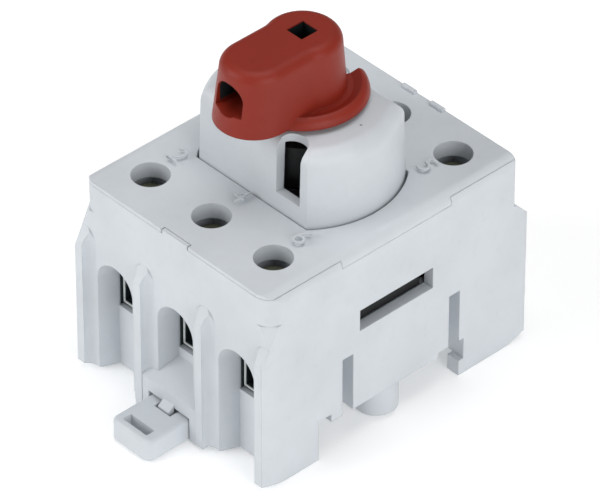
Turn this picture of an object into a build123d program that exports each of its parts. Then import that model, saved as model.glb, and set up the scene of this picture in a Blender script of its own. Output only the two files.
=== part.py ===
from build123d import *
import math
import os

os.makedirs("parts", exist_ok=True)

# Clearances
fit_gap = 0.05
seam_gap = 0.05
touch_gap = 0.1
seat_gap = 0.2
slip_gap = 0.3

# Across the switch: three poles side by side. Origin: handle axis on the mounting plane.
half_width = 26.0
side_wall = 2.4
end_margin = 0.5
pole_count = 3
pole_pitch = 2 * (half_width - end_margin) / pole_count
pole_xs = [pole_pitch * (n - (pole_count - 1) / 2) for n in range(pole_count)]
guide_half_x = half_width - side_wall
finger_in_x = 2.6
finger_out_x = 4.4
chamber_low_half_x = pole_xs[-1] + finger_out_x + 0.4

# Cam and follower: the spiral groove draws the slider out by its travel in a quarter turn
follower_r = 1.5
follower_y = 6.2
slider_travel = 6.0
groove_clearance = 0.1
disc_margin = 0.8
disc_r = follower_y + slider_travel + follower_r + groove_clearance + disc_margin

# Along the switch, from the chamber out to the end walls, front terminals towards -Y
chamber_half_y = disc_r + 2.8
chamber_wall = 1.2
pocket_inner_y = chamber_half_y + chamber_wall
cage_inner_y = pocket_inner_y + 1.4
cage_depth = 7.2
cage_outer_y = cage_inner_y + cage_depth
terminal_y = cage_inner_y + 3.1
pocket_outer_y = cage_outer_y + slip_gap
pocket_wall = 1.2
channel_root_y = pocket_outer_y + pocket_wall
front_face_y = -(channel_root_y + 3.9)
back_face_y = channel_root_y + 2.5
front_corner_r = 3.7
back_corner_r = 0.8

# Foot, 35 mm rail recess and side plates
rail_width = 35.0
recess_back_y = 16.2
recess_front_y = recess_back_y - rail_width - 1.1
recess_roof_z = 7.5
front_relief_z = recess_roof_z + 1.9
front_relief_y = recess_front_y + 3.2
back_relief_z = recess_roof_z + 1.1
back_relief_y = recess_back_y - 5.1
hook_lip_z = 3.6
hook_depth = 1.7
side_plate = 3.0
toe_flat_y = front_face_y + 5.8
toe_rise = 1.6
heel_flat_y = back_face_y - 3.9
heel_rise = 1.6
front_sole_z = 0.7
back_sole_z = 3.6
support_r = 4.4
support_y = -1.0
support_low_z = 1.0

# Upwards through the mechanism, each piece standing on the one before
chamber_floor = 1.4
chamber_low_z = front_relief_z + chamber_floor
yoke_low_z = chamber_low_z + 2.7
finger_low_z = chamber_low_z + 4.8
bridge_low_z = finger_low_z + 0.2
bridge_height = 5.0
bridge_high_z = bridge_low_z + bridge_height
bar_low_z = bridge_high_z + 2.7
bar_t = 1.4
bar_high_z = bar_low_z + bar_t
guide_z = bar_high_z + slip_gap
slider_low_z = guide_z + slip_gap
slider_t = 4.0
slider_high_z = slider_low_z + slider_t
disc_low_z = slider_high_z + 1.7
disc_t = 4.4
journal_low_z = disc_low_z + disc_t + 0.6
bearing_seat_z = journal_low_z + 1.3
bearing_plate_t = 2.8
turret_flange_low_z = bearing_seat_z + bearing_plate_t + touch_gap
turret_flange_t = 2.4
turret_flange_high_z = turret_flange_low_z + turret_flange_t
cover_low_z = turret_flange_high_z + seat_gap
cover_thickness = 2.4
top_z = cover_low_z + cover_thickness
journal_high_z = bearing_seat_z + bearing_plate_t + 2.9
snap_spring_low_z = journal_high_z + 0.4
snap_spring_height = 3.2
drum_low_z = snap_spring_low_z + snap_spring_height + 0.8
drum_height = 9.4
handle_neck_low_z = drum_low_z + drum_height + slip_gap
turret_rise = 16.4
turret_top_z = top_z + turret_rise

# Top cover
cover_lip = 0.9
cover_flap_half = 14.0
rim_z = top_z - cover_lip
long_edge_r = cover_thickness - 0.1
lug_width = 3.3
lug_height = 0.8
lug_depth = 1.1
lug_xs = (-2.9, 4.8)
snap_tab_x = 0.25
snap_tab_width = 6.9
snap_tab_depth = 0.8

# Wire channels, windows and terminal pockets
channel_mouth_half = 5.0
channel_root_half = 3.4
channel_spring_z = bar_low_z - 0.5
pocket_half_x = 4.5
pocket_low_z = chamber_low_z + 3.9
window_half = 3.4
window_low_z = pocket_low_z + slip_gap
window_high_z = bar_low_z

# Ribs between the wire channels
rib_width = 2.0
rib_outer_x = half_width - rib_width / 2
rib_inner_x = pole_pitch / 2
front_rib_y = front_face_y - 1.9
back_rib_y = back_face_y + 2.9
rib_crest_z = channel_spring_z + channel_mouth_half + 5.7
rib_slope = 3.0
rib_flank_r = 1.8
rib_point = 4.2
corner_run_out = 4.5

# Clamp cages and screws
cage_half_x = 4.0
cage_low_z = pocket_low_z + seat_gap
cage_high_z = bar_high_z + 2.1
cage_wall = 0.9
cage_nut_t = 2.0
screw_r = 1.75
screw_head_r = 3.1
screw_head_low_z = cage_high_z + 11.2
screw_head_t = 2.8
screw_head_high_z = screw_head_low_z + screw_head_t
screw_slot_w = 0.9
screw_slot_d = 1.1

# Screw wells
well_r = 3.8
well_low_z = screw_head_high_z + 0.8
collar_wall = 0.55

# Contacts
bar_half_x = 2.9
bar_end_y = terminal_y + 3.7
bar_bend_y = pocket_inner_y - 1.7
bar_bend_w = 2.4
finger_t = 1.2
contact_y = -1.1
pad_t = 0.5
bridge_t = 1.4

# Contact slider
slider_half_y = 8.5
guide_half_y = slider_half_y + slider_travel + 0.5
yoke_half_x = 2.1
yoke_window_front_y = contact_y - 0.5
yoke_window_back_y = 5.6
yoke_front_y = yoke_window_front_y - 3.0
yoke_back_y = yoke_window_back_y + 1.6
yoke_window_margin = 0.3
leaf_t = 0.4
leaf_half_x = 3.8
cam_groove_d = 2.8
follower_reach = disc_low_z + cam_groove_d - 0.4 - slider_high_z

# Side slot and side grooves
slot_half_y = slider_half_y + 0.95
slot_low_z = guide_z + 0.4
slot_high_z = slider_high_z + 1.0
groove_width = 2.8
groove_depth = half_width - chamber_low_half_x - 1.2
groove_high_z = slot_low_z - 4.6
groove_ys = (-12.5, 15.25)

# Rotor: shaft, lock drum and snap spring
shaft_square = 6.0
journal_r = 5.2
drum_r = 10.3
snap_spring_t = 0.5
snap_spring_turns = 2.25
snap_spring_start_r = journal_r
snap_spring_end_r = 10.0

# Turret
turret_r = half_width - 6.4
turret_flat_y = 12.9
turret_rim_r = 3.0
turret_wall = 1.8
turret_draft = 1.5
turret_hole_gap = 0.5
turret_flat_gap = 0.2
turret_flange = 1.2
turret_slot_x = turret_r - 9.9
turret_slot_w = 6.4
turret_slot_sill_z = top_z + 3.9
turret_slot_back_y = -8.6

# Handle
handle_low_z = turret_top_z + 1.1
handle_height = 13.9
handle_top_z = handle_low_z + handle_height
handle_hub_r = 8.45
handle_hub_top_r = 7.45
handle_shoulder = 0.65
handle_waist_r = 6.0
handle_tip_y = -12.3
handle_tip_top_y = -11.4
handle_edge_r = 2.3
handle_grip_rise = 0.5
handle_flange_r = 12.75
handle_flange_t = 2.1
handle_flange_lean = 1.55
handle_flange_floor_r = 9.6
handle_dish = 0.75
handle_flange_gap = 22.0
handle_wall = 1.9
handle_neck_r = 6.1
handle_key_square = 4.2
shaft_top_z = handle_top_z - 7.4
padlock_half_x = 3.5
padlock_z = handle_top_z - 6.4
padlock_ledge_z = padlock_z - 2.9
padlock_back_y = -9.0

# Rail latch and the box over it
latch_half_x = 5.4
latch_low_z = 0.7
latch_high_z = 5.4
latch_roof_gap = 0.6
latch_front_y = front_rib_y - 10.1
latch_corner_r = 1.6
latch_edge_r = 0.8
latch_nose_y = recess_front_y + 3.5
latch_nose_low_z = 2.4
latch_ear = 1.1
latch_ear_low_z = 2.3
latch_ear_high_z = 3.7
latch_ear_front_y = recess_front_y - 7.1
latch_ear_back_y = recess_front_y - 1.1
latch_travel = 4.0
latch_slot_w = 6.6
latch_slot_l = 2.0
latch_slot_y = latch_front_y + 2.5
latch_box_half_x = 9.5
latch_box_front_z = 9.0
latch_box_back_z = 13.0
stop_tab_half_x = 1.5
stop_tab_reach = 1.4
stop_tab_low_z = 3.4
stop_notch_half_x = 2.2

rib_xs = (-rib_outer_x, -rib_inner_x, rib_inner_x, rib_outer_x)
ends = ((-1, front_face_y, front_rib_y, front_corner_r), (1, back_face_y, back_rib_y, back_corner_r))


def keep(piece, name):
    """Name a finished piece and write its file."""
    piece.part.label = name
    export_step(piece.part, f"parts/{name}.step")


def end_plane(y):
    """Upright plane across the switch, seen from the front: its x is X and its y is Z."""
    return Plane(origin=(0, y, 0), x_dir=(1, 0, 0), z_dir=(0, -1, 0))


def trim_to_section(low_z):
    """Keep what lies inside the body's section, which has rounded long edges at the top."""
    with BuildSketch(Plane.XZ) as section:
        with Locations((0, (low_z + top_z) / 2)):
            Rectangle(2 * half_width, top_z - low_z)
        fillet(section.vertices().group_by(Axis.Y)[-1], long_edge_r)
    extrude(section.sketch, amount=2 * back_rib_y, both=True, mode=Mode.INTERSECT)


def add_ribs(side, face_y, rib_y, corner_r):
    """Four upright ribs with hollow flanks and pointed tops, standing on a strip of the end wall."""
    strip = corner_r + 0.3
    with BuildSketch(Plane.XY) as plan:
        with Locations((0, face_y - side * strip / 2)):
            Rectangle(2 * half_width, strip)
        with Locations([(x, (face_y + rib_y) / 2) for x in rib_xs]):
            Rectangle(rib_width, abs(rib_y - face_y) + 0.2)
        roots = plan.vertices().filter_by_position(Axis.Y, face_y - 0.01, face_y + 0.01)
        fillet(roots, rib_flank_r)
    extrude(plan.sketch, amount=rib_crest_z)
    slope_run = rib_y + side * 0.5 - face_y
    drop = rib_slope * slope_run / (rib_y - face_y)
    with BuildSketch(Plane.YZ) as slope:
        Polygon(
            (face_y, rib_crest_z),
            (face_y + slope_run, rib_crest_z - drop),
            (face_y + slope_run, rib_crest_z + 1),
            (face_y, rib_crest_z + 1),
            align=None,
        )
    extrude(slope.sketch, amount=half_width + 1, both=True, mode=Mode.SUBTRACT)
    reach = rib_width / 2 + rib_flank_r
    foot_z = rib_crest_z - 0.9 * rib_point
    tip_z = foot_z + rib_point
    half = 0.7 * reach
    half_z = foot_z + 0.62 * rib_point
    for x in rib_xs:
        with BuildSketch(end_plane(face_y)) as crown:
            with BuildLine() as outline:
                ThreePointArc((x - reach, foot_z), (x - half, half_z), (x, tip_z))
                ThreePointArc((x, tip_z), (x + half, half_z), (x + reach, foot_z))
                Polyline(
                    (x + reach, foot_z),
                    (x + reach + 1, foot_z),
                    (x + reach + 1, tip_z + 1),
                    (x - reach - 1, tip_z + 1),
                    (x - reach - 1, foot_z),
                    (x - reach, foot_z),
                )
            make_face(outline.line.edges())
        extrude(crown.sketch, amount=-side * (abs(rib_y - face_y) + 1), mode=Mode.SUBTRACT)


def run_out_corner(hand):
    """Above the ribs, a square front corner of the body runs out into the rounded one."""
    with BuildSketch(Plane.XY.offset(rib_crest_z)) as square:
        with Locations((hand * (half_width - front_corner_r / 2), front_face_y + front_corner_r / 2)):
            Rectangle(front_corner_r, front_corner_r)
    extrude(square.sketch, amount=corner_run_out)
    centre = (hand * (half_width - front_corner_r), front_face_y + front_corner_r, 0)
    fall = corner_run_out / (front_corner_r * (math.sqrt(2) - 1))
    high_z = rib_crest_z + corner_run_out
    near = front_corner_r - 0.02
    far = 2.5 * front_corner_r
    with BuildSketch(Plane(origin=centre, x_dir=(hand, -1, 0), z_dir=(-1, -hand, 0))) as slant:
        Polygon((near, high_z), (far, high_z - fall * (far - near)), (far, high_z), align=None)
    extrude(slant.sketch, amount=2 * front_corner_r, both=True, mode=Mode.SUBTRACT)


def arch(x, half, low_z):
    """Outline of a round-topped wire channel."""
    with BuildLine() as outline:
        Polyline((x + half, channel_spring_z), (x + half, low_z), (x - half, low_z), (x - half, channel_spring_z))
        ThreePointArc((x - half, channel_spring_z), (x, channel_spring_z + half), (x + half, channel_spring_z))
    make_face(outline.line.edges())


def cut_channel(x, side, face_y):
    """One tapering wire channel, its window and the pocket for a clamp cage."""
    with BuildSketch(end_plane(face_y + side * 0.1)) as mouth:
        arch(x, channel_mouth_half, -1)
    with BuildSketch(end_plane(side * channel_root_y)) as root:
        arch(x, channel_root_half, -1)
    loft([mouth.sketch, root.sketch], mode=Mode.SUBTRACT)
    with BuildSketch(end_plane(side * (pocket_outer_y + channel_root_y) / 2)) as window:
        with Locations((x, (window_low_z + window_high_z) / 2)):
            Rectangle(2 * window_half, window_high_z - window_low_z)
    extrude(window.sketch, amount=channel_root_y - pocket_outer_y, both=True, mode=Mode.SUBTRACT)
    with BuildSketch(Plane.XY.offset(pocket_low_z)) as pocket:
        with Locations((x, side * (pocket_outer_y + pocket_inner_y) / 2)):
            Rectangle(2 * pocket_half_x, pocket_outer_y - pocket_inner_y)
    extrude(pocket.sketch, amount=top_z - pocket_low_z, mode=Mode.SUBTRACT)
    with BuildSketch(end_plane(side * (pocket_inner_y + chamber_half_y) / 2)) as bar_way:
        with Locations((x, bar_low_z + bar_t / 2)):
            Rectangle(2 * (bar_half_x + seat_gap), bar_t + 2 * touch_gap)
    extrude(bar_way.sketch, amount=pocket_inner_y - chamber_half_y, both=True, mode=Mode.SUBTRACT)


# Base housing: foot, walls, wire channels and the chamber for the mechanism
with BuildPart() as base_housing:
    with BuildSketch(Plane.YZ):
        Polygon(
            (front_face_y, 0),
            (front_face_y, top_z),
            (back_face_y, top_z),
            (back_face_y, 0),
            (recess_back_y, 0),
            (recess_back_y, hook_lip_z),
            (recess_back_y + hook_depth, hook_lip_z),
            (recess_back_y + hook_depth, back_relief_z),
            (back_relief_y, back_relief_z),
            (back_relief_y, recess_roof_z),
            (front_relief_y, recess_roof_z),
            (front_relief_y, front_relief_z),
            (recess_front_y, front_relief_z),
            (recess_front_y, 0),
            align=None,
        )
    extrude(amount=half_width, both=True)
    corners = base_housing.edges().filter_by(Axis.Z)
    fillet(corners.group_by(Axis.Y)[0], front_corner_r)
    fillet(base_housing.edges().filter_by(Axis.Z).group_by(Axis.Y)[-1], back_corner_r)
    trim_to_section(0)

    # The walls stop short for the cover, but for a snap tab in the middle of the front
    with BuildSketch(Plane.XY.offset(rim_z)):
        with Locations((0, (front_face_y + back_face_y) / 2)):
            Rectangle(2 * half_width + 2, back_face_y - front_face_y + 2)
        with Locations((snap_tab_x, front_face_y + snap_tab_depth / 2 - 0.5)):
            Rectangle(snap_tab_width, snap_tab_depth + 1, mode=Mode.SUBTRACT)
    extrude(amount=cover_lip + 1, mode=Mode.SUBTRACT)

    for side, face_y, rib_y, corner_r in ends:
        add_ribs(side, face_y, rib_y, corner_r)
    for hand in (-1, 1):
        run_out_corner(hand)
    for side, face_y, rib_y, corner_r in ends:
        for x in pole_xs:
            cut_channel(x, side, face_y)

    # Rounded toes and heels, and a sole between the side plates that stands clear of the panel
    for flat_y, rib_y, rise in ((toe_flat_y, front_rib_y, toe_rise), (heel_flat_y, back_rib_y, heel_rise)):
        side = math.copysign(1, rib_y)
        with BuildSketch(Plane.YZ):
            with BuildLine():
                TangentArc((flat_y, 0), (rib_y, rise), tangent=(side, 0))
                Polyline((rib_y, rise), (rib_y + side, rise), (rib_y + side, -1), (flat_y, -1), (flat_y, 0))
            make_face()
        extrude(amount=half_width + 1, both=True, mode=Mode.SUBTRACT)
    for wall_y, rib_y, sole_z in ((recess_front_y, front_rib_y, front_sole_z), (recess_back_y, back_rib_y, back_sole_z)):
        with BuildSketch(Plane.XY):
            with Locations((0, (wall_y + rib_y) / 2)):
                Rectangle(2 * (half_width - side_plate), abs(rib_y - wall_y) + 1)
        extrude(amount=sole_z, mode=Mode.SUBTRACT)

    # Box over the rail latch, filling the foot of the middle channel
    with BuildSketch(Plane.YZ):
        Polygon(
            (front_rib_y, front_sole_z),
            (front_rib_y, latch_box_front_z),
            (-channel_root_y + 0.2, latch_box_back_z),
            (-channel_root_y + 0.2, front_sole_z),
            align=None,
        )
    extrude(amount=latch_box_half_x, both=True)

    # Latch channel, with a groove each side for the latch's ears
    with BuildSketch(Plane.XY.offset(-1)):
        with Locations((0, (front_rib_y + recess_front_y) / 2)):
            Rectangle(2 * (latch_half_x + slip_gap), recess_front_y - front_rib_y + 2)
    extrude(amount=latch_high_z + latch_roof_gap + 1, mode=Mode.SUBTRACT)
    ear_groove_front_y = latch_ear_front_y - latch_travel - slip_gap
    with BuildSketch(Plane.XY.offset(latch_ear_low_z - slip_gap)):
        with Locations((0, (ear_groove_front_y + recess_front_y) / 2)):
            Rectangle(2 * (latch_half_x + latch_ear + slip_gap), recess_front_y - ear_groove_front_y)
    extrude(amount=latch_ear_high_z - latch_ear_low_z + 2 * slip_gap, mode=Mode.SUBTRACT)

    # Stop tab that hangs from the box into a notch of the latch
    with BuildSketch(Plane.YZ):
        Polygon(
            (front_rib_y, stop_tab_low_z),
            (front_rib_y - stop_tab_reach, stop_tab_low_z),
            (front_rib_y - stop_tab_reach, latch_high_z + 0.2),
            (front_rib_y, latch_high_z + stop_tab_reach),
            (front_rib_y + 1, latch_high_z + stop_tab_reach),
            (front_rib_y + 1, latch_high_z + latch_roof_gap),
            (front_rib_y, latch_high_z + latch_roof_gap),
            align=None,
        )
    extrude(amount=stop_tab_half_x, both=True)

    # Mechanism chamber: contact space, slider guide and bearing plate seat
    with BuildSketch(Plane.XY.offset(chamber_low_z)):
        Rectangle(2 * chamber_low_half_x, 2 * chamber_half_y)
    extrude(amount=top_z - chamber_low_z, mode=Mode.SUBTRACT)
    with BuildSketch(Plane.XY.offset(guide_z)):
        Rectangle(2 * guide_half_x, 2 * guide_half_y)
    extrude(amount=top_z - guide_z, mode=Mode.SUBTRACT)
    with BuildSketch(Plane.XY.offset(bearing_seat_z)):
        Rectangle(2 * guide_half_x, 2 * chamber_half_y)
    extrude(amount=top_z - bearing_seat_z, mode=Mode.SUBTRACT)

    # Side slots over the slider, and the upright grooves below them
    with BuildSketch(Plane.YZ):
        with Locations((0, (slot_low_z + slot_high_z) / 2)):
            Rectangle(2 * slot_half_y, slot_high_z - slot_low_z)
    extrude(amount=half_width + 1, both=True, mode=Mode.SUBTRACT)
    for x in (-half_width, half_width):
        with BuildSketch(Plane.XY):
            with Locations([(x, y) for y in groove_ys]):
                Rectangle(2 * groove_depth, groove_width)
        extrude(amount=groove_high_z, mode=Mode.SUBTRACT)

    # Round supports that stand in the rail's trough
    with BuildSketch(Plane.XY.offset(support_low_z)):
        with Locations([(x * (half_width - support_r), support_y) for x in (-1, 1)]):
            Circle(support_r)
    extrude(amount=chamber_low_z - support_low_z - 1)

    # The cover's side flaps hang over the side walls
    for hand in (-1, 1):
        with BuildSketch(Plane.XY.offset(cover_low_z - seam_gap)):
            with Locations((hand * (guide_half_x + half_width) / 2, 0)):
                Rectangle(side_wall + 2, 2 * (cover_flap_half + seam_gap))
        extrude(amount=cover_thickness, mode=Mode.SUBTRACT)
keep(base_housing, "base_housing")

# Top cover: thin lip over the walls, plate between them, flaps, collars and lugs
with BuildPart() as top_cover:
    with BuildSketch(Plane.XY.offset(cover_low_z)) as lip:
        with Locations((0, (front_face_y + back_face_y) / 2)):
            Rectangle(2 * half_width, back_face_y - front_face_y)
        fillet(lip.vertices().group_by(Axis.Y)[0], front_corner_r)
        fillet(lip.vertices().group_by(Axis.Y)[-1], back_corner_r)
    extrude(amount=cover_thickness)
    trim_to_section(cover_low_z)
    with BuildSketch(Plane.XY.offset(cover_low_z)):
        with Locations((0, (front_face_y + back_face_y) / 2)):
            Rectangle(2 * half_width + 2, back_face_y - front_face_y + 2)
        Rectangle(2 * (guide_half_x - seat_gap), 2 * (chamber_half_y - seat_gap), mode=Mode.SUBTRACT)
        Rectangle(2 * half_width + 2, 2 * cover_flap_half, mode=Mode.SUBTRACT)
    extrude(amount=rim_z + seam_gap - cover_low_z, mode=Mode.SUBTRACT)

    # Notch for the front wall's snap tab
    with BuildSketch(Plane.XY.offset(rim_z)):
        with Locations((snap_tab_x, front_face_y + snap_tab_depth / 2 - 0.5)):
            Rectangle(snap_tab_width + 2 * slip_gap, snap_tab_depth + 1 + 2 * touch_gap)
    extrude(amount=cover_lip + 1, mode=Mode.SUBTRACT)

    # Collars that reach down into the terminal pockets
    well_places = [(x, side * terminal_y) for side in (-1, 1) for x in pole_xs]
    with BuildSketch(Plane.XY.offset(well_low_z)):
        with Locations(well_places):
            Circle(well_r + collar_wall)
    extrude(amount=rim_z + seam_gap - well_low_z)
    with BuildSketch(Plane.XY.offset(well_low_z)):
        with Locations(well_places):
            Circle(well_r)
    extrude(amount=top_z - well_low_z + 1, mode=Mode.SUBTRACT)

    # Opening for the turret
    with BuildSketch(Plane.XY.offset(cover_low_z)):
        Circle(turret_r + turret_hole_gap)
        Rectangle(3 * turret_r, 2 * (turret_flat_y + turret_flat_gap), mode=Mode.INTERSECT)
    extrude(amount=cover_thickness, mode=Mode.SUBTRACT)

    # Two low lugs on the back edge
    with BuildSketch(Plane.XY.offset(top_z)):
        with Locations([(x, back_face_y - lug_depth / 2) for x in lug_xs]):
            Rectangle(lug_width, lug_depth)
    extrude(amount=lug_height)
    fillet(top_cover.edges().filter_by(Axis.X).group_by(Axis.Z)[-1], 0.4 * lug_depth)
keep(top_cover, "top_cover")

# Bearing plate over the cam disc
with BuildPart() as bearing_plate:
    with BuildSketch(Plane.XY.offset(bearing_seat_z)):
        Rectangle(2 * (guide_half_x - seat_gap), 2 * (chamber_half_y - seat_gap))
        Circle(journal_r + fit_gap, mode=Mode.SUBTRACT)
    extrude(amount=bearing_plate_t)
keep(bearing_plate, "bearing_plate")

# Turret: flat-sided shell with a flange under the cover
with BuildPart() as turret:
    with BuildSketch(Plane.XY.offset(turret_flange_high_z)):
        Circle(turret_r)
        Rectangle(3 * turret_r, 2 * turret_flat_y, mode=Mode.INTERSECT)
    extrude(amount=turret_top_z - turret_flange_high_z, taper=turret_draft)
    fillet(turret.faces().sort_by(Axis.Z)[-1].edges(), min(turret_rim_r, 0.45 * (turret_r - turret_flat_y)))
    with BuildSketch(Plane.XY.offset(turret_flange_low_z)):
        Circle(turret_r + turret_flange)
        Rectangle(3 * turret_r, 2 * (turret_flat_y + turret_flange), mode=Mode.INTERSECT)
    extrude(amount=turret_flange_t)
    with BuildSketch(Plane.XY.offset(turret_flange_low_z)):
        Circle(turret_r - turret_wall)
        Rectangle(3 * turret_r, 2 * (turret_flat_y - turret_wall), mode=Mode.INTERSECT)
    extrude(amount=turret_top_z - turret_wall - turret_flange_low_z, taper=turret_draft, mode=Mode.SUBTRACT)
    with BuildSketch(Plane.XY.offset(turret_top_z)):
        Circle(handle_neck_r + fit_gap)
    extrude(amount=-2 * turret_wall, mode=Mode.SUBTRACT)
    slot_centre_y = turret_slot_back_y - turret_slot_w / 2
    with BuildSketch(Plane.XY.offset(turret_slot_sill_z)):
        with Locations((turret_slot_x, slot_centre_y)):
            Circle(turret_slot_w / 2)
        with Locations((turret_slot_x, slot_centre_y - turret_slot_w / 2)):
            Rectangle(turret_slot_w, turret_slot_w)
    extrude(amount=turret_top_z - turret_slot_sill_z + 1, mode=Mode.SUBTRACT)
keep(turret, "turret")


def clamp_cage(x, side):
    """Steel cage that lifts the wire against the contact bar."""
    mid_y = side * (cage_outer_y + cage_inner_y) / 2
    with BuildPart() as cage:
        with BuildSketch(Plane.XY.offset(cage_low_z)):
            with Locations((x, mid_y)):
                Rectangle(2 * cage_half_x, cage_depth)
        extrude(amount=cage_high_z - cage_low_z)
        mouth_low_z = cage_low_z + cage_wall + touch_gap
        mouth_high_z = cage_high_z - cage_nut_t
        with BuildSketch(end_plane(mid_y)):
            with Locations((x, (mouth_low_z + mouth_high_z) / 2)):
                Rectangle(2 * (cage_half_x - cage_wall), mouth_high_z - mouth_low_z)
        extrude(amount=cage_depth, both=True, mode=Mode.SUBTRACT)
        with BuildSketch(Plane.XY.offset(mouth_high_z)):
            with Locations((x, side * terminal_y)):
                Circle(screw_r + fit_gap)
        extrude(amount=cage_nut_t, mode=Mode.SUBTRACT)
    return cage


cage_places = [(x, side) for side in (-1, 1) for x in pole_xs]
for number, (x, side) in enumerate(cage_places, start=1):
    keep(clamp_cage(x, side), f"clamp_cage_{number}")

# Terminal screws: six alike, with a cross recess
with BuildPart() as terminal_screws:
    with BuildSketch(Plane.XY.offset(bar_high_z + fit_gap)):
        with Locations(well_places):
            Circle(screw_r)
    extrude(amount=screw_head_low_z - bar_high_z - fit_gap)
    with BuildSketch(Plane.XY.offset(screw_head_low_z)):
        with Locations(well_places):
            Circle(screw_head_r)
    extrude(amount=screw_head_t)
    with BuildSketch(Plane.XY.offset(screw_head_high_z)):
        with Locations(well_places):
            Rectangle(1.6 * screw_head_r, screw_slot_w)
            Rectangle(screw_slot_w, 1.6 * screw_head_r)
    extrude(amount=-screw_slot_d, mode=Mode.SUBTRACT)
keep(terminal_screws, "terminal_screws")


def fixed_contact(x, side):
    """Bar from the clamp cage to a finger that hangs in front of the bridge."""
    finger_x = x + side * (finger_in_x + finger_out_x) / 2
    finger_w = finger_out_x - finger_in_x
    finger_front_y = contact_y - finger_t
    bend_x_span = bar_half_x + finger_out_x
    bend_x = x + side * (finger_out_x - bar_half_x) / 2
    end_y = finger_front_y if side > 0 else contact_y
    with BuildPart() as contact:
        with BuildSketch(Plane.XY.offset(bar_low_z)):
            with Locations((x, side * (bar_end_y + bar_bend_y - bar_bend_w) / 2)):
                Rectangle(2 * bar_half_x, bar_end_y - bar_bend_y + bar_bend_w)
            with Locations((bend_x, side * (bar_bend_y - bar_bend_w / 2))):
                Rectangle(bend_x_span, bar_bend_w)
            with Locations((finger_x, (side * bar_bend_y + end_y) / 2)):
                Rectangle(finger_w, abs(side * bar_bend_y - end_y))
        extrude(amount=bar_t)
        with BuildSketch(Plane.XY.offset(finger_low_z)):
            with Locations((finger_x, contact_y - finger_t / 2)):
                Rectangle(finger_w, finger_t)
        extrude(amount=bar_low_z - finger_low_z + bar_t / 2)
    return contact


for number, x in enumerate(pole_xs, start=1):
    keep(fixed_contact(x, -1), f"load_contact_{number}")
    keep(fixed_contact(x, 1), f"line_contact_{number}")

# Contact bridges with two pads each, pushed forward by a leaf spring
bridge_front_y = contact_y + touch_gap
bridge_mid_z = (bridge_low_z + bridge_high_z) / 2
for number, x in enumerate(pole_xs, start=1):
    with BuildPart() as bridge:
        with BuildSketch(Plane.XY.offset(bridge_low_z)):
            with Locations((x, bridge_front_y + pad_t + bridge_t / 2)):
                Rectangle(2 * finger_out_x, bridge_t)
            pad_x = (finger_in_x + finger_out_x) / 2
            with Locations([(x + s * pad_x, bridge_front_y + pad_t / 2) for s in (-1, 1)]):
                Rectangle(finger_out_x - finger_in_x, pad_t)
        extrude(amount=bridge_height)
    keep(bridge, f"contact_bridge_{number}")

    leaf_root_y = bridge_front_y + pad_t + bridge_t + touch_gap
    leaf_crown_y = yoke_window_back_y - touch_gap
    with BuildPart() as leaf:
        with BuildSketch(Plane.XY.offset(bridge_low_z + 2 * touch_gap)):
            with BuildLine():
                outer = ThreePointArc(
                    (x - leaf_half_x, leaf_root_y + leaf_t), (x, leaf_crown_y), (x + leaf_half_x, leaf_root_y + leaf_t)
                )
                inner = ThreePointArc(
                    (x + leaf_half_x - leaf_t, leaf_root_y),
                    (x, leaf_crown_y - leaf_t),
                    (x - leaf_half_x + leaf_t, leaf_root_y),
                )
                Line(outer @ 1, inner @ 0)
                Line(inner @ 1, outer @ 0)
            make_face()
        extrude(amount=bridge_height - 4 * touch_gap)
    keep(leaf, f"contact_spring_{number}")

# Contact slider: guided plate, a windowed yoke for each pole and the cam follower
with BuildPart() as contact_slider:
    with BuildSketch(Plane.XY.offset(slider_low_z)):
        Rectangle(2 * (guide_half_x - slip_gap), 2 * slider_half_y)
    extrude(amount=slider_t)
    with BuildSketch(Plane.XY.offset(yoke_low_z)):
        with Locations([(x, (yoke_front_y + yoke_back_y) / 2) for x in pole_xs]):
            Rectangle(2 * yoke_half_x, yoke_back_y - yoke_front_y)
    extrude(amount=slider_low_z - yoke_low_z)
    window_low = bridge_low_z - yoke_window_margin
    window_high = bridge_high_z + yoke_window_margin
    with BuildSketch(Plane.YZ):
        with Locations(((yoke_window_front_y + yoke_window_back_y) / 2, (window_low + window_high) / 2)):
            Rectangle(yoke_window_back_y - yoke_window_front_y, window_high - window_low)
    extrude(amount=half_width, both=True, mode=Mode.SUBTRACT)
    with BuildSketch(Plane.XY.offset(slider_high_z)):
        with Locations((0, follower_y)):
            Circle(follower_r)
    extrude(amount=follower_reach)
keep(contact_slider, "contact_slider")


def cam_groove_point(turn, offset):
    """A point beside the groove's centre line, which draws the follower out evenly as the disc turns."""
    rate = slider_travel / (math.pi / 2)
    r = follower_y + rate * turn
    angle = math.pi / 2 - turn
    along = (rate * math.cos(angle) + r * math.sin(angle), rate * math.sin(angle) - r * math.cos(angle))
    length = math.hypot(*along)
    return (r * math.cos(angle) - offset * along[1] / length, r * math.sin(angle) + offset * along[0] / length)


# Cam disc with its spiral groove underneath
with BuildPart() as cam_disc:
    with BuildSketch(Plane.XY.offset(disc_low_z)):
        Circle(disc_r)
        Rectangle(shaft_square + 2 * fit_gap, shaft_square + 2 * fit_gap, mode=Mode.SUBTRACT)
    extrude(amount=disc_t)
    groove_half = follower_r + groove_clearance
    turns = [math.radians(90) * n / 8 for n in range(9)]
    with BuildSketch(Plane.XY.offset(disc_low_z)):
        with BuildLine():
            near = Spline([cam_groove_point(turn, -groove_half) for turn in turns])
            far = Spline([cam_groove_point(turn, groove_half) for turn in turns])
            Line(near @ 0, far @ 0)
            Line(near @ 1, far @ 1)
        make_face()
        with Locations(cam_groove_point(0, 0), cam_groove_point(turns[-1], 0)):
            Circle(groove_half)
    extrude(amount=cam_groove_d, mode=Mode.SUBTRACT)
keep(cam_disc, "cam_disc")

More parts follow.
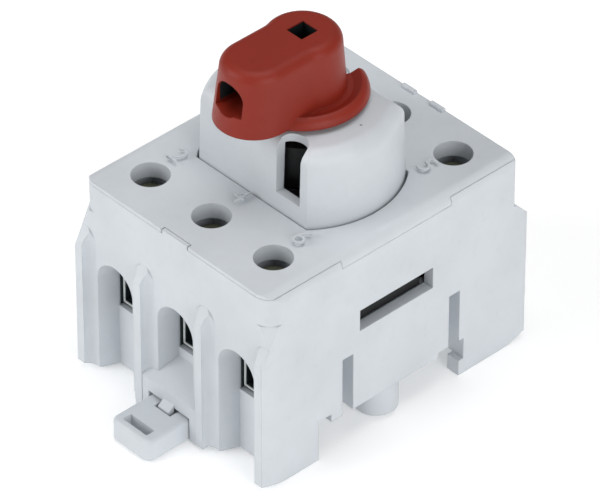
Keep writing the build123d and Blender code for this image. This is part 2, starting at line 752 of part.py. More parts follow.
# Drive shaft: square ends and a round journal
with BuildPart() as drive_shaft:
    with BuildSketch(Plane.XY.offset(disc_low_z)):
        Rectangle(shaft_square, shaft_square)
    extrude(amount=shaft_top_z - disc_low_z)
    with BuildSketch(Plane.XY.offset(journal_low_z)):
        Circle(journal_r)
    extrude(amount=journal_high_z - journal_low_z)
keep(drive_shaft, "drive_shaft")

# Lock drum inside the turret
with BuildPart() as lock_drum:
    with BuildSketch(Plane.XY.offset(drum_low_z)):
        Circle(drum_r)
        Rectangle(shaft_square + 2 * fit_gap, shaft_square + 2 * fit_gap, mode=Mode.SUBTRACT)
    extrude(amount=drum_height)
keep(lock_drum, "lock_drum")


def coil_point(share, offset):
    """A point on the flat spiral spring, from its inner end to its outer end."""
    r = snap_spring_start_r + (snap_spring_end_r - snap_spring_start_r) * share + offset
    angle = 2 * math.pi * snap_spring_turns * share
    return (r * math.cos(angle), r * math.sin(angle))


# Flat spiral snap spring round the shaft
with BuildPart() as snap_spring:
    shares = [n / 18 for n in range(19)]
    with BuildSketch(Plane.XY.offset(snap_spring_low_z)):
        with BuildLine():
            inside = Spline([coil_point(share, 0) for share in shares])
            outside = Spline([coil_point(share, snap_spring_t) for share in shares])
            Line(inside @ 0, outside @ 0)
            Line(inside @ 1, outside @ 1)
        make_face()
    extrude(amount=snap_spring_height)
keep(snap_spring, "snap_spring")


def grip_section(z, hub_r, tip_y):
    """Section of the handle's grip: a round hub on the axis, blended into a straight-sided tongue."""
    tongue_r = hub_r - handle_shoulder
    with BuildSketch(Plane.XY.offset(z)) as section:
        Circle(hub_r)
        with Locations((0, tip_y)):
            Circle(tongue_r)
        with Locations((0, tip_y / 2)):
            Rectangle(2 * tongue_r, -tip_y)
        waist = section.vertices().filter_by_position(Axis.Y, -0.6 * hub_r, -0.1 * hub_r)
        fillet(waist, handle_waist_r)
    return section.sketch


# Handle: drafted grip on a dished flange, with a padlock hole in its tip and a square key hole
with BuildPart() as handle:
    grip_low_z = handle_low_z + handle_grip_rise
    low_section = grip_section(grip_low_z, handle_hub_r, handle_tip_y)
    top_section = grip_section(handle_top_z, handle_hub_top_r, handle_tip_top_y)
    loft([low_section, top_section])
    fillet(handle.faces().sort_by(Axis.Z)[-1].edges(), handle_edge_r)
    rim_top_z = handle_low_z + handle_flange_t
    floor_z = rim_top_z - handle_dish
    with BuildSketch(Plane.XZ):
        with BuildLine():
            rim = ThreePointArc(
                (handle_flange_r, handle_low_z),
                (handle_flange_r - 0.3 * handle_flange_lean, handle_low_z + 0.62 * handle_flange_t),
                (handle_flange_r - handle_flange_lean, rim_top_z),
            )
            Polyline(rim @ 1, (handle_flange_floor_r, floor_z), (0, floor_z), (0, handle_low_z), rim @ 0)
        make_face()
    revolve(axis=Axis.Z)
    with BuildSketch(Plane.XY.offset(handle_low_z)):
        gap_x = 2 * handle_flange_r * math.sin(math.radians(handle_flange_gap))
        gap_y = 2 * handle_flange_r * math.cos(math.radians(handle_flange_gap))
        Polygon((0, 0), (gap_x, gap_y), (-gap_x, gap_y), align=None)
        Circle(handle_hub_r, mode=Mode.SUBTRACT)
    extrude(amount=handle_flange_t + 1, mode=Mode.SUBTRACT)
    with BuildSketch(Plane.XY.offset(handle_neck_low_z)):
        Circle(handle_neck_r)
    extrude(amount=handle_low_z - handle_neck_low_z)

    # Shallow pocket under the tip
    hollow_r = handle_hub_r - handle_shoulder - handle_wall
    hollow_back_y = -handle_neck_r - 0.9
    with BuildSketch(Plane.XY.offset(handle_low_z)):
        with Locations((0, handle_tip_y)):
            Circle(hollow_r)
        with Locations((0, (handle_tip_y + hollow_back_y) / 2)):
            Rectangle(2 * hollow_r, hollow_back_y - handle_tip_y)
    extrude(amount=padlock_ledge_z - 1.6 - handle_low_z, mode=Mode.SUBTRACT)

    # Square hole for the shaft from below, and for the key from above
    with BuildSketch(Plane.XY.offset(handle_neck_low_z)):
        Rectangle(shaft_square + 2 * fit_gap, shaft_square + 2 * fit_gap)
    extrude(amount=shaft_top_z + seat_gap - handle_neck_low_z, mode=Mode.SUBTRACT)
    with BuildSketch(Plane.XY.offset(shaft_top_z)):
        Rectangle(handle_key_square, handle_key_square)
    extrude(amount=handle_top_z - shaft_top_z + 1, mode=Mode.SUBTRACT)

    # Padlock hole, round above and flat below
    with BuildSketch(end_plane(padlock_back_y)):
        with Locations((0, padlock_z)):
            Circle(padlock_half_x)
        with Locations((0, (padlock_ledge_z + padlock_z) / 2)):
            Rectangle(2 * padlock_half_x, padlock_z - padlock_ledge_z)
    extrude(amount=2 * handle_hub_r - handle_tip_y, mode=Mode.SUBTRACT)
keep(handle, "handle")

# Rail latch: slide with a screwdriver slot, a stop notch, side ears and a nose under the rail's edge
with BuildPart() as rail_latch:
    with BuildSketch(Plane.XY.offset(latch_low_z)) as slide_plan:
        with Locations((0, (latch_front_y + recess_front_y) / 2)):
            Rectangle(2 * latch_half_x, recess_front_y - latch_front_y)
        fillet(slide_plan.vertices().group_by(Axis.Y)[0], latch_corner_r)
    extrude(amount=latch_high_z - latch_low_z)
    front_top_edges = rail_latch.faces().sort_by(Axis.Z)[-1].edges().sort_by(Axis.Y)[:-1]
    fillet(front_top_edges, latch_edge_r)
    with BuildSketch(Plane.XY.offset(latch_low_z)):
        with Locations((0, latch_slot_y)):
            Rectangle(latch_slot_w, latch_slot_l)
    extrude(amount=latch_high_z - latch_low_z, mode=Mode.SUBTRACT)
    notch_front_y = front_rib_y - stop_tab_reach - slip_gap
    notch_back_y = front_rib_y + slip_gap + latch_travel
    with BuildSketch(Plane.XY.offset(stop_tab_low_z - slip_gap)):
        with Locations((0, (notch_front_y + notch_back_y) / 2)):
            Rectangle(2 * stop_notch_half_x, notch_back_y - notch_front_y)
    extrude(amount=latch_high_z - stop_tab_low_z + slip_gap, mode=Mode.SUBTRACT)
    with BuildSketch(Plane.YZ):
        Polygon(
            (recess_front_y - 0.2, latch_high_z),
            (latch_nose_y, latch_high_z - 0.4),
            (latch_nose_y, latch_nose_low_z + 1.4),
            (recess_front_y - 0.2, latch_nose_low_z),
            align=None,
        )
    extrude(amount=latch_half_x, both=True)
    with BuildSketch(Plane.XY.offset(latch_ear_low_z)):
        with Locations((0, (latch_ear_front_y + latch_ear_back_y) / 2)):
            Rectangle(2 * (latch_half_x + latch_ear), latch_ear_back_y - latch_ear_front_y)
    extrude(amount=latch_ear_high_z - latch_ear_low_z)
keep(rail_latch, "rail_latch")
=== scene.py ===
"""Looks of a rail-mounted cam switch with a red handle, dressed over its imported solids."""

import math

import bpy
from bpy.props import FloatProperty, FloatVectorProperty, PointerProperty
from mathutils import Matrix, Vector


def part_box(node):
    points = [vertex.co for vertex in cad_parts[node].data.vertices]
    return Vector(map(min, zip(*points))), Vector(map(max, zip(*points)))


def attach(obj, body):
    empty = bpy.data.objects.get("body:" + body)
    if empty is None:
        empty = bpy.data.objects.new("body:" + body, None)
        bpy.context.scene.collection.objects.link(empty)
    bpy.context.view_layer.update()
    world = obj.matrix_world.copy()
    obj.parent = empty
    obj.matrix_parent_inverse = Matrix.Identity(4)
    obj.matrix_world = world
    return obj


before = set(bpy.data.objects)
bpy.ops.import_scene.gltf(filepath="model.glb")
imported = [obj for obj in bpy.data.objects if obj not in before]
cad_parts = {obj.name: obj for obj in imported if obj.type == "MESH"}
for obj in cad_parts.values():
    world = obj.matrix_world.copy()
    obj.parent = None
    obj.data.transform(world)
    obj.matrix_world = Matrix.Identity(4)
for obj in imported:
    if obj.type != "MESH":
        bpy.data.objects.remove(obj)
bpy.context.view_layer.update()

bl_info = {
    "name": "Cam switch looks",
    "version": (1, 0, 0),
    "blender": (4, 5, 0),
    "location": "View3D > Sidebar > Cam switch",
    "description": "Finishes, moulded marks and the studio for a rail-mounted cam switch",
    "category": "Object",
}

MM = 0.001
PALE = (1.0, 1.0, 1.0, 1.0)
# Painted shade: the dark colour put into recesses, standing in for their shadow
HOLLOW_SHADE = (0.030, 0.042, 0.045)
CAGES = 6
POLES = 3

# Painted shade in the terminal pockets, a box measured from the clamp cages
POCKET_AHEAD = 1.15 * MM
POCKET_BESIDE = 0.6 * MM
POCKET_ABOVE = 2 * MM
POCKET_LIFT = 0.1 * MM

# Gate mark of the moulding, on the turret's top
GATE_PLACE = (14.27 * MM, 1.58 * MM)
GATE_RADIUS = 0.28 * MM

# Painted shade in the handle's key hole and padlock hole, with depths under the handle's top
KEY_HALF = 2.25 * MM
KEY_BOTTOM = 12 * MM
KEY_RIM = 0.3 * MM
KEY_SHADE_LEVEL = 0.3
LOCK_HALF = 3.6 * MM
LOCK_FRONT = -17.5 * MM
LOCK_BACK = -8.5 * MM
LOCK_BOTTOM = 9.1 * MM
LOCK_ROOF = 2.7 * MM
LOCK_SHADE_LEVEL = 0.5

# Clamp jaws: how much of the outer edge is left out of the painted shade, and how its edges are
# finished
JAW_BRIGHT = 0.3 * MM
JAW_ROUNDING = 0.12 * MM
SMOOTH_ANGLE = math.radians(30)

# Terminal numbers
COVER_LIP = 0.9 * MM        # the cover's top stands this far over the base
DIGIT_SINK = 0.05 * MM
DIGIT_ROUNDING = 0.05 * MM
DIGIT_SHARE = 0.72          # a digit's height as a share of its text size

# Patterns in the plastic
CLOUD = 14 * MM
HANDLING_MARK = 2.2 * MM
GRAIN = 0.16 * MM
WAVE = 6 * MM
GRAIN_RELIEF = 0.03 * MM

# How dark the cages and the shaft are beside their plate and steel
CAGE_SHADE = 0.2
SHAFT_SHADE = 0.12

# Patterns in the metal
DULL_PATCH = 1.8 * MM
DRAWN_STRETCH = (1.0, 14.0, 14.0)
DRAWN_SCALE = 500.0
DRAWN_RELIEF = 0.02 * MM

# Studio, in metres and watts
FLOOR_SIZE = 3.0
FLOOR_DROP = 0.02 * MM
FLOOR_CLOUD = 0.4
FLOOR_GLOW = 0.24
ROOM_LIGHT = 0.24
AIM = (0, 0, 0.035)
LAMPS = (
    # name, place, size, power
    ("key", (-0.75, -1.25, 0.75), 1.0, 12.0),
    ("fill", (1.45, -0.25, 0.6), 1.0, 10.9),
    ("top", (0.0, 0.2, 1.6), 1.2, 11.1),
)


# Properties

class CamSwitchColours(bpy.types.PropertyGroup):
    """Base colours of the finishes."""

    housing: FloatVectorProperty(
        name="Housing", description="Light grey moulded housing", subtype="COLOR",
        size=3, min=0.0, max=1.0, default=(0.60, 0.635, 0.67))
    latch: FloatVectorProperty(
        name="Rail latch", description="Light grey of the rail latch", subtype="COLOR",
        size=3, min=0.0, max=1.0, default=(0.60, 0.635, 0.67))
    handle: FloatVectorProperty(
        name="Handle", description="Brownish red of the handle", subtype="COLOR",
        size=3, min=0.0, max=1.0, default=(0.245, 0.020, 0.009))
    inner: FloatVectorProperty(
        name="Mechanism", description="Black moulded parts inside", subtype="COLOR",
        size=3, min=0.0, max=1.0, default=(0.012, 0.013, 0.014))
    zinc: FloatVectorProperty(
        name="Zinc plate", description="Clamp jaws, and darkened on their cages", subtype="COLOR",
        size=3, min=0.0, max=1.0, default=(0.82, 0.85, 0.84))
    screw: FloatVectorProperty(
        name="Screw plate", description="Yellowish plate of the terminal screws", subtype="COLOR",
        size=3, min=0.0, max=1.0, default=(0.17, 0.175, 0.125))
    tin: FloatVectorProperty(
        name="Tinned copper", description="Contact bars in the terminals", subtype="COLOR",
        size=3, min=0.0, max=1.0, default=(0.16, 0.17, 0.17))
    copper: FloatVectorProperty(
        name="Copper", description="Contact bridges", subtype="COLOR",
        size=3, min=0.0, max=1.0, default=(0.72, 0.38, 0.20))
    spring: FloatVectorProperty(
        name="Spring steel", description="Springs, and darkened on the shaft", subtype="COLOR",
        size=3, min=0.0, max=1.0, default=(0.42, 0.43, 0.45))
    floor: FloatVectorProperty(
        name="Floor", description="Pale floor of the studio", subtype="COLOR",
        size=3, min=0.0, max=1.0, default=(0.97, 0.97, 0.97))


class CamSwitchSizes(bpy.types.PropertyGroup):
    """Sizes of what the looks add to the solids."""

    digit_height: FloatProperty(
        name="Digit height", description="Height of a moulded terminal number",
        unit="LENGTH", default=4.5 * MM)
    digit_thickness: FloatProperty(
        name="Digit thickness", description="Thickness of a number, half of which stands proud",
        unit="LENGTH", default=0.3 * MM)
    digit_thinning: FloatProperty(
        name="Digit thinning", description="How far a number's strokes are drawn in",
        unit="LENGTH", default=0.1 * MM)
    digit_y: FloatProperty(
        name="Digit place", description="Distance of the numbers from the handle's axis",
        unit="LENGTH", default=16.1 * MM)
    jaw_half_width: FloatProperty(
        name="Jaw half width", description="Half the width of a clamp jaw",
        unit="LENGTH", default=2.9 * MM)
    jaw_depth: FloatProperty(
        name="Jaw depth", description="Length of a clamp jaw along its wire",
        unit="LENGTH", default=1.6 * MM)
    jaw_reach: FloatProperty(
        name="Jaw reach", description="How far a clamp jaw stands out of its cage",
        unit="LENGTH", default=0.85 * MM)
    jaw_rise: FloatProperty(
        name="Jaw rise", description="Height of a clamp jaw's sides",
        unit="LENGTH", default=6.4 * MM)
    jaw_sheet: FloatProperty(
        name="Jaw sheet", description="Thickness of a clamp jaw",
        unit="LENGTH", default=0.5 * MM)
    cage_floor: FloatProperty(
        name="Cage floor", description="Thickness of a clamp cage's floor",
        unit="LENGTH", default=0.9 * MM)
    edge_radius: FloatProperty(
        name="Edge radius", description="Rounding of moulded edges in the finish",
        unit="LENGTH", default=0.28 * MM)


class CamSwitchCamera(bpy.types.PropertyGroup):
    """The photograph's view."""

    azimuth: FloatProperty(
        name="Azimuth", description="Turn of the view about the handle's axis",
        subtype="ANGLE", default=math.radians(47.05))
    elevation: FloatProperty(
        name="Elevation", description="How far the camera looks down",
        subtype="ANGLE", default=math.radians(38.62))
    distance: FloatProperty(
        name="Distance", description="From the origin to the camera",
        unit="LENGTH", default=1200.6 * MM)
    aside: FloatProperty(
        name="Aside", description="Shift of the camera to its right",
        unit="LENGTH", default=-0.43 * MM)
    above: FloatProperty(
        name="Above", description="Shift of the camera along its upward axis",
        unit="LENGTH", default=19.27 * MM)
    lens: FloatProperty(
        name="Lens", description="Focal length in millimetres", default=373.75)
    sensor: FloatProperty(
        name="Sensor", description="Width of the sensor in millimetres", default=36.0)


# Shader maths

class Value:
    """A shader socket whose arithmetic adds Math nodes."""

    def __init__(self, paint, socket):
        self.paint = paint
        self.socket = socket

    def math(self, operation, *others):
        return self.paint.node("ShaderNodeMath", {"operation": operation}, self, *others)

    def reflected(self, operation, other):
        return self.paint.node("ShaderNodeMath", {"operation": operation}, other, self)

    def __add__(self, other):
        return self.math("ADD", other)

    __radd__ = __add__

    def __sub__(self, other):
        return self.math("SUBTRACT", other)

    def __rsub__(self, other):
        return self.reflected("SUBTRACT", other)

    def __mul__(self, other):
        return self.math("MULTIPLY", other)

    __rmul__ = __mul__


class Paint:
    """One material's node tree, built by expressions."""

    def __init__(self, name):
        self.material = bpy.data.materials.new(name)
        self.material.use_nodes = True
        self.tree = self.material.node_tree
        self.shader = self.tree.nodes["Principled BSDF"]
        self.place = self.node("ShaderNodeTexCoord", {}, output="Object")

    def node(self, kind, settings, *values, output=0, **named):
        """Adds a node, makes its settings, links or fills its sockets, and returns an output."""
        node = self.tree.nodes.new(kind)
        for key, setting in settings.items():
            if key == "stops":
                self.set_stops(node.color_ramp, setting)
            else:
                setattr(node, key, setting)
        for key, value in (*enumerate(values), *named.items()):
            self.feed(node.inputs[key], value)
        return Value(self, node.outputs[output])

    def set_stops(self, ramp, stops):
        """Gives a colour ramp its stops, each a place and a grey level."""
        while len(ramp.elements) < len(stops):
            ramp.elements.new(0.5)
        for element, (place, level) in zip(ramp.elements, stops):
            element.position = place
            element.color = (level, level, level, 1.0)

    def feed(self, socket, value):
        """Links a Value to a socket, or writes a plain one into it."""
        if isinstance(value, Value):
            self.tree.links.new(value.socket, socket)
        else:
            socket.default_value = value

    def noise(self, size, detail=3.0, roughness=0.55):
        """Fractal noise whose features are about size metres across."""
        return self.node("ShaderNodeTexNoise", {}, Vector=self.place, Scale=1.0 / size,
                         Detail=detail, Roughness=roughness)

    def ramp(self, value, *stops):
        """A grey ramp over a value."""
        return self.node("ShaderNodeValToRGB", {"stops": stops}, value)

    def within(self, low, high):
        """1 inside a box given by its corners, 0 outside."""
        share = 1.0
        for axis in range(3):
            along = self.node("ShaderNodeSeparateXYZ", {}, self.place, output=axis)
            share = share * along.math("GREATER_THAN", low[axis])
            share = share * along.math("LESS_THAN", high[axis])
        return share

    def near(self, centre, reach):
        """1 within reach of a point, 0 beyond."""
        gap = self.node("ShaderNodeVectorMath", {"operation": "DISTANCE"}, self.place, centre,
                        output="Value")
        return gap.math("LESS_THAN", reach)

    def mix(self, share, first, second):
        """A colour between two, by a share."""
        node = self.tree.nodes.new("ShaderNodeMix")
        node.data_type = "RGBA"
        # The sockets of a colour mix: its factor, its two colours, and its result
        self.feed(node.inputs[0], share)
        self.feed(node.inputs[6], first)
        self.feed(node.inputs[7], second)
        return Value(self, node.outputs[2])

    def darken(self, base, shaded_hollows):
        """A colour with painted shade in boxes, each given by its corners and a brightness: the
        dark stands in for shadow inside recesses.
        """
        for low, high, level in shaded_hollows:
            base = self.mix(self.within(low, high), base, shade(HOLLOW_SHADE, level))
        return base

    def set(self, **sockets):
        """Fills the shader's own sockets, named with underscores."""
        for key, value in sockets.items():
            self.feed(self.shader.inputs[key.replace("_", " ")], value)
        return self.material


def shade(colour, factor):
    """A colour made lighter or darker, with an alpha of 1."""
    return (*[min(1.0, channel * factor) for channel in colour[:3]], 1.0)


def moulded_plastic(name, colour, edge, roughness=0.5, grain=0.35, stain=0.5, gloss=0.5,
                    shaded_hollows=(), gates=()):
    """Moulded plastic: fine grain, faint flow clouds and handling marks, softened edges, and
    painted shade in given hollows.
    """
    paint = Paint(name)
    clouds = paint.ramp(paint.noise(CLOUD), (0.35, 0.0), (0.7, 1.0))
    marks = paint.ramp(paint.noise(HANDLING_MARK, detail=5.0), (0.56, 0.0), (0.72, 1.0))
    light, deep, soiled, burnt = (shade(colour, factor) for factor in (1.03, 0.955, 0.6, 0.3))
    base = paint.mix(clouds, light, deep)
    base = paint.mix(marks * (0.12 * stain), base, soiled)
    # Painted shade in the hollows
    base = paint.darken(base, shaded_hollows)
    for gate in gates:
        base = paint.mix(paint.near(gate, GATE_RADIUS) * 0.75, base, burnt)
    fine = paint.noise(GRAIN, detail=2.0)
    wave = paint.noise(WAVE, detail=1.0)
    rounded = paint.node("ShaderNodeBevel", {"samples": 4}, Radius=edge)
    bump = paint.node("ShaderNodeBump", {}, Strength=0.35, Distance=GRAIN_RELIEF,
                      Height=fine * grain + wave * 0.6, Normal=rounded)
    dulled = clouds * 0.06 + marks * 0.08 + (roughness - 0.05)
    return paint.set(Base_Color=base, Roughness=dulled, Normal=bump, Specular_IOR_Level=gloss)


def plated_metal(name, colour, roughness=0.32, metallic=1.0, shaded_hollows=()):
    """Plated or rolled metal: drawn lines, dull patches and painted shade in given hollows."""
    paint = Paint(name)
    patches = paint.ramp(paint.noise(DULL_PATCH, detail=4.0), (0.4, 0.0), (0.65, 1.0))
    lines = paint.node("ShaderNodeMapping", {}, Vector=paint.place, Scale=DRAWN_STRETCH)
    drawn = paint.node("ShaderNodeTexNoise", {}, Vector=lines, Scale=DRAWN_SCALE, Detail=3.0)
    bright, dull = shade(colour, 1.0), shade(colour, 0.72)
    # Painted shade in the hollows, over the dull patches
    base = paint.darken(paint.mix(patches * 0.5, bright, dull), shaded_hollows)
    bump = paint.node("ShaderNodeBump", {}, Strength=0.25, Distance=DRAWN_RELIEF, Height=drawn)
    dulled = patches * 0.16 + drawn * 0.1 + (roughness - 0.05)
    return paint.set(Base_Color=base, Metallic=metallic, Roughness=dulled, Normal=bump)


def finish(material, *nodes):
    """Gives CAD nodes a finish by their material slots."""
    for node in nodes:
        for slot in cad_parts[node].material_slots:
            slot.material = material


def numbered(stem, count):
    """Node names of a numbered family."""
    return [f"{stem}_{number}" for number in range(1, count + 1)]


# Operators

class CAMSWITCH_OT_housing(bpy.types.Operator):
    """Finish the base, cover, turret and rail latch as grey moulded plastic, with painted shade in
    the terminal pockets
    """

    bl_idname = "cam_switch.housing"
    bl_label = "Housing"

    def execute(self, context):
        colours = context.scene.cam_switch_colours
        edge = context.scene.cam_switch_sizes.edge_radius
        cage_low, cage_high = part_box("clamp_cage_3")
        outer = -cage_low[1] + POCKET_AHEAD
        wide = cage_high[0] + POCKET_BESIDE
        floor = cage_low[2] + POCKET_LIFT
        roof = cage_high[2] + POCKET_ABOVE
        # Painted shade: dark boxes inside the front and back terminal pockets, where shadow falls
        shaded_hollows = (
            ((-wide, -outer, floor), (wide, cage_high[1], roof), 1.0),
            ((-wide, -cage_high[1], floor), (wide, outer, roof), 1.0),
        )
        gate = (*GATE_PLACE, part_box("turret")[1][2])
        grey = moulded_plastic("housing_plastic", colours.housing, edge, shaded_hollows=shaded_hollows,
                               gates=(gate,))
        finish(grey, "base_housing", "top_cover", "turret")
        finish(moulded_plastic("latch_plastic", colours.latch, edge, roughness=0.45), "rail_latch")
        return {"FINISHED"}


class CAMSWITCH_OT_handle(bpy.types.Operator):
    """Finish the handle as satin red plastic, with painted shade in its key hole and padlock hole
    """

    bl_idname = "cam_switch.handle"
    bl_label = "Handle"

    def execute(self, context):
        colours = context.scene.cam_switch_colours
        edge = context.scene.cam_switch_sizes.edge_radius
        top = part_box("handle")[1][2]
        # Painted shade: dark boxes inside the key hole and the padlock hole
        key_low = (-KEY_HALF, -KEY_HALF, top - KEY_BOTTOM)
        key_high = (KEY_HALF, KEY_HALF, top - KEY_RIM)
        lock_low = (-LOCK_HALF, LOCK_FRONT, top - LOCK_BOTTOM)
        lock_high = (LOCK_HALF, LOCK_BACK, top - LOCK_ROOF)
        shaded_hollows = ((key_low, key_high, KEY_SHADE_LEVEL), (lock_low, lock_high, LOCK_SHADE_LEVEL))
        red = moulded_plastic("handle_plastic", colours.handle, edge, roughness=0.5, grain=0.5,
                              stain=1.0, gloss=0.3, shaded_hollows=shaded_hollows)
        finish(red, "handle")
        return {"FINISHED"}


class CAMSWITCH_OT_terminals(bpy.types.Operator):
    """Finish the clamp cages, screws, contact bars and contact bridges"""

    bl_idname = "cam_switch.terminals"
    bl_label = "Terminals"

    def execute(self, context):
        colours = context.scene.cam_switch_colours
        cage = plated_metal("cage_plate", shade(colours.zinc, CAGE_SHADE), roughness=0.5)
        finish(cage, *numbered("clamp_cage", CAGES))
        screw = plated_metal("screw_plate", colours.screw, roughness=0.4)
        finish(screw, "terminal_screws")
        tin = plated_metal("tinned_copper", colours.tin, roughness=0.4)
        finish(tin, *numbered("line_contact", POLES), *numbered("load_contact", POLES))
        copper = plated_metal("contact_copper", colours.copper, roughness=0.38)
        finish(copper, *numbered("contact_bridge", POLES))
        return {"FINISHED"}


class CAMSWITCH_OT_clamp_jaws(bpy.types.Operator):
    """Fold a plated jaw into each clamp cage, whose bright edge shows in the window"""

    bl_idname = "cam_switch.clamp_jaws"
    bl_label = "Clamp jaws"

    def execute(self, context):
        sizes = context.scene.cam_switch_sizes
        cages = numbered("clamp_cage", CAGES)
        start = self.seat(cages[0], sizes)
        first = self.fold(context, sizes, start)
        first.data.materials.append(self.plate(context, sizes))
        for cage in cages:
            jaw = first
            if cage != cages[0]:
                jaw = first.copy()
                jaw.data = first.data.copy()
                jaw.data.transform(Matrix.Translation(self.seat(cage, sizes) - start))
                context.collection.objects.link(jaw)
            jaw.name = cage.replace("cage", "jaw")
            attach(jaw, "housing")
        return {"FINISHED"}

    def plate(self, context, sizes):
        """Zinc plate that keeps its own bright colour at the jaws' outer edges, with painted shade
        over the rest of them.
        """
        low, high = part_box("clamp_cage_1")[0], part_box("clamp_cage_6")[1]
        behind = high[1] + sizes.jaw_reach - JAW_BRIGHT
        # Painted shade: a dark box over the jaws behind their outer edges, inside the window
        inner = ((low[0], -behind, low[2]), (high[0], behind, high[2]), 1.0)
        return plated_metal("zinc_plate", context.scene.cam_switch_colours.zinc, roughness=0.45,
                            metallic=0.55, shaded_hollows=(inner,))

    def seat(self, cage, sizes):
        """Where a jaw's floor lies: on the cage's floor, its outer edge just past the cage."""
        low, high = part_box(cage)
        mouth = sizes.jaw_depth / 2 - sizes.jaw_reach
        y = low[1] + mouth if low[1] < 0 else high[1] - mouth
        return Vector(((low[0] + high[0]) / 2, y, low[2] + sizes.cage_floor))

    def fold(self, context, sizes, seat):
        """A flat sheet whose sides are folded up."""
        bpy.ops.object.select_all(action="DESELECT")
        bpy.ops.mesh.primitive_plane_add(size=1, location=seat)
        jaw = context.object
        jaw.scale = (2 * sizes.jaw_half_width, sizes.jaw_depth, 1)
        bpy.ops.object.transform_apply(location=True, rotation=True, scale=True)
        context.tool_settings.mesh_select_mode = (False, True, False)
        bpy.ops.object.mode_set(mode="EDIT")
        bpy.ops.mesh.select_all(action="DESELECT")
        bpy.ops.object.mode_set(mode="OBJECT")
        for edge in jaw.data.edges:
            start, end = (jaw.data.vertices[corner].co for corner in edge.vertices)
            edge.select = abs(start.x - end.x) < sizes.jaw_half_width
        bpy.ops.object.mode_set(mode="EDIT")
        rise = {"value": (0, 0, sizes.jaw_rise)}
        bpy.ops.mesh.extrude_edges_move(TRANSFORM_OT_translate=rise)
        bpy.ops.object.mode_set(mode="OBJECT")
        wall = jaw.modifiers.new("wall", "SOLIDIFY")
        wall.thickness = sizes.jaw_sheet
        wall.offset = 1
        rounding = jaw.modifiers.new("rounding", "BEVEL")
        rounding.width = JAW_ROUNDING
        rounding.segments = 2
        for modifier in ("wall", "rounding"):
            bpy.ops.object.modifier_apply(modifier=modifier)
        bpy.ops.object.shade_smooth_by_angle(angle=SMOOTH_ANGLE)
        return jaw


class CAMSWITCH_OT_mechanism(bpy.types.Operator):
    """Finish the slider, cam disc, drum, bearing plate, shaft and springs"""

    bl_idname = "cam_switch.mechanism"
    bl_label = "Mechanism"

    def execute(self, context):
        colours = context.scene.cam_switch_colours
        edge = context.scene.cam_switch_sizes.edge_radius
        black = moulded_plastic("mechanism_plastic", colours.inner, edge, roughness=0.55,
                                stain=0.2)
        finish(black, "contact_slider", "cam_disc", "lock_drum", "bearing_plate")
        steel = plated_metal("spring_steel", colours.spring, roughness=0.3)
        finish(steel, "snap_spring", *numbered("contact_spring", POLES))
        dark = plated_metal("blackened_steel", shade(colours.spring, SHAFT_SHADE), roughness=0.45)
        finish(dark, "drive_shaft")
        return {"FINISHED"}


class CAMSWITCH_OT_terminal_numbers(bpy.types.Operator):
    """Raise a plain number beside each screw well"""

    bl_idname = "cam_switch.terminal_numbers"
    bl_label = "Terminal numbers"

    def execute(self, context):
        sizes = context.scene.cam_switch_sizes
        cage_low, cage_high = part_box("clamp_cage_1")
        outer_x = -(cage_low[0] + cage_high[0]) / 2
        top_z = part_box("base_housing")[1][2] + COVER_LIP
        for side, digits in ((-1, "246"), (1, "135")):
            for digit, x in zip(digits, (-outer_x, 0.0, outer_x)):
                place = (x, side * sizes.digit_y, top_z - DIGIT_SINK)
                number = self.raised(context, sizes, digit, place)
                number.name = f"terminal_number_{digit}"
                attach(number, "housing")
        return {"FINISHED"}

    def raised(self, context, sizes, digit, place):
        """A digit as a mesh, centred on its place, in the housing's plastic."""
        bpy.ops.object.select_all(action="DESELECT")
        bpy.ops.object.text_add(location=place)
        text = context.object.data
        text.body = digit
        text.size = sizes.digit_height / DIGIT_SHARE
        text.align_x = "CENTER"
        text.align_y = "CENTER"
        text.extrude = sizes.digit_thickness / 2
        text.offset = -sizes.digit_thinning
        text.bevel_depth = DIGIT_ROUNDING
        text.resolution_u = 6
        bpy.ops.object.convert(target="MESH")
        bpy.ops.object.transform_apply(location=True, rotation=True, scale=True)
        number = context.object
        number.data.materials.append(bpy.data.materials["housing_plastic"])
        return number


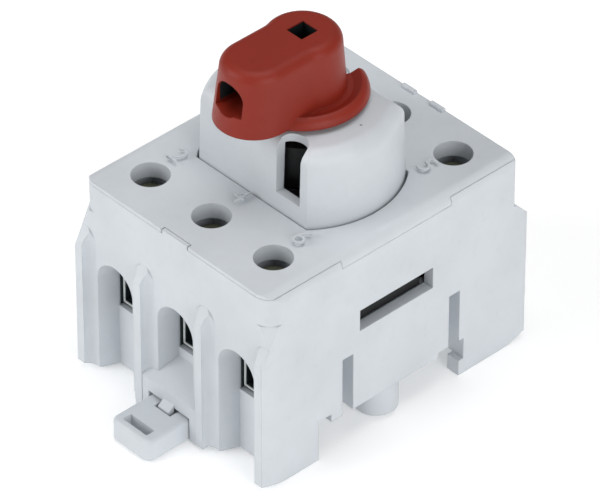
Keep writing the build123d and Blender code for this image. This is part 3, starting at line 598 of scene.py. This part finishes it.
class CAMSWITCH_OT_stage(bpy.types.Operator):
    """Lay the pale floor, hang the soft lights and set the camera"""

    bl_idname = "cam_switch.stage"
    bl_label = "Stage"

    def execute(self, context):
        self.lay_floor(context)
        self.hang_lights(context)
        self.set_camera(context)
        context.scene.view_settings.view_transform = "Standard"
        return {"FINISHED"}

    def lay_floor(self, context):
        """A plane just under the soles, so that it shares no face with them."""
        bpy.ops.object.select_all(action="DESELECT")
        bpy.ops.mesh.primitive_plane_add(size=FLOOR_SIZE, location=(0, 0, -FLOOR_DROP))
        floor = context.object
        floor.name = "studio_floor"
        paint = Paint("studio_paper")
        tone = paint.ramp(paint.noise(FLOOR_CLOUD), (0.3, 0.99), (0.7, 1.0))
        colour = tuple(context.scene.cam_switch_colours.floor)
        base = paint.node("ShaderNodeVectorMath", {"operation": "MULTIPLY"}, colour, tone)
        paper = paint.set(Base_Color=base, Roughness=0.9, Emission_Color=PALE,
                          Emission_Strength=FLOOR_GLOW)
        floor.data.materials.append(paper)

    def hang_lights(self, context):
        """Large soft boxes either side of the camera and above, and a bright room."""
        for name, place, size, power in LAMPS:
            bpy.ops.object.light_add(type="AREA", location=place)
            lamp = context.object
            lamp.name = f"softbox_{name}"
            lamp.data.energy = power
            lamp.data.size = size
            aim = Vector(AIM) - Vector(place)
            lamp.rotation_euler = aim.to_track_quat("-Z", "Y").to_euler()
        world = context.scene.world or bpy.data.worlds.new("room")
        context.scene.world = world
        world.use_nodes = True
        background = world.node_tree.nodes["Background"]
        background.inputs["Color"].default_value = PALE
        background.inputs["Strength"].default_value = ROOM_LIGHT

    def set_camera(self, context):
        """The photograph's view, as a long lens from above the front right corner."""
        view = context.scene.cam_switch_camera
        back = Vector((
            math.sin(view.azimuth) * math.cos(view.elevation),
            -math.cos(view.azimuth) * math.cos(view.elevation),
            math.sin(view.elevation),
        ))
        right = Vector((math.cos(view.azimuth), math.sin(view.azimuth), 0))
        above = back.cross(right)
        bpy.ops.object.camera_add()
        camera = context.object
        camera.name = "photo_camera"
        place = right * view.aside + above * view.above + back * view.distance
        turn = Matrix((right, above, back)).transposed().to_4x4()
        camera.matrix_world = Matrix.Translation(place) @ turn
        camera.data.lens = view.lens
        camera.data.sensor_width = view.sensor
        context.scene.camera = camera


class CAMSWITCH_PT_panel(bpy.types.Panel):
    """Lists the colours, the sizes, the view and the steps that dress the switch"""

    bl_idname = "CAMSWITCH_PT_panel"
    bl_label = "Cam switch"
    bl_space_type = "VIEW_3D"
    bl_region_type = "UI"
    bl_category = "Cam switch"

    def draw(self, context):
        for group in ("cam_switch_colours", "cam_switch_sizes", "cam_switch_camera"):
            settings = getattr(context.scene, group)
            for key in settings.__annotations__:
                self.layout.prop(settings, key)
        for step in STEPS:
            self.layout.operator(step.bl_idname)


GROUPS = (CamSwitchColours, CamSwitchSizes, CamSwitchCamera)
STEPS = (
    CAMSWITCH_OT_housing,
    CAMSWITCH_OT_handle,
    CAMSWITCH_OT_terminals,
    CAMSWITCH_OT_clamp_jaws,
    CAMSWITCH_OT_mechanism,
    CAMSWITCH_OT_terminal_numbers,
    CAMSWITCH_OT_stage,
)


def register():
    for cls in (*GROUPS, *STEPS, CAMSWITCH_PT_panel):
        bpy.utils.register_class(cls)
    bpy.types.Scene.cam_switch_colours = PointerProperty(type=CamSwitchColours)
    bpy.types.Scene.cam_switch_sizes = PointerProperty(type=CamSwitchSizes)
    bpy.types.Scene.cam_switch_camera = PointerProperty(type=CamSwitchCamera)


def unregister():
    del bpy.types.Scene.cam_switch_camera
    del bpy.types.Scene.cam_switch_sizes
    del bpy.types.Scene.cam_switch_colours
    for cls in (CAMSWITCH_PT_panel, *reversed(STEPS), *reversed(GROUPS)):
        bpy.utils.unregister_class(cls)


def main():
    """Registers the steps and runs them in order."""
    register()
    bpy.ops.cam_switch.housing()
    bpy.ops.cam_switch.handle()
    bpy.ops.cam_switch.terminals()
    bpy.ops.cam_switch.clamp_jaws()
    bpy.ops.cam_switch.mechanism()
    bpy.ops.cam_switch.terminal_numbers()
    bpy.ops.cam_switch.stage()


if __name__ == "__main__":
    main()
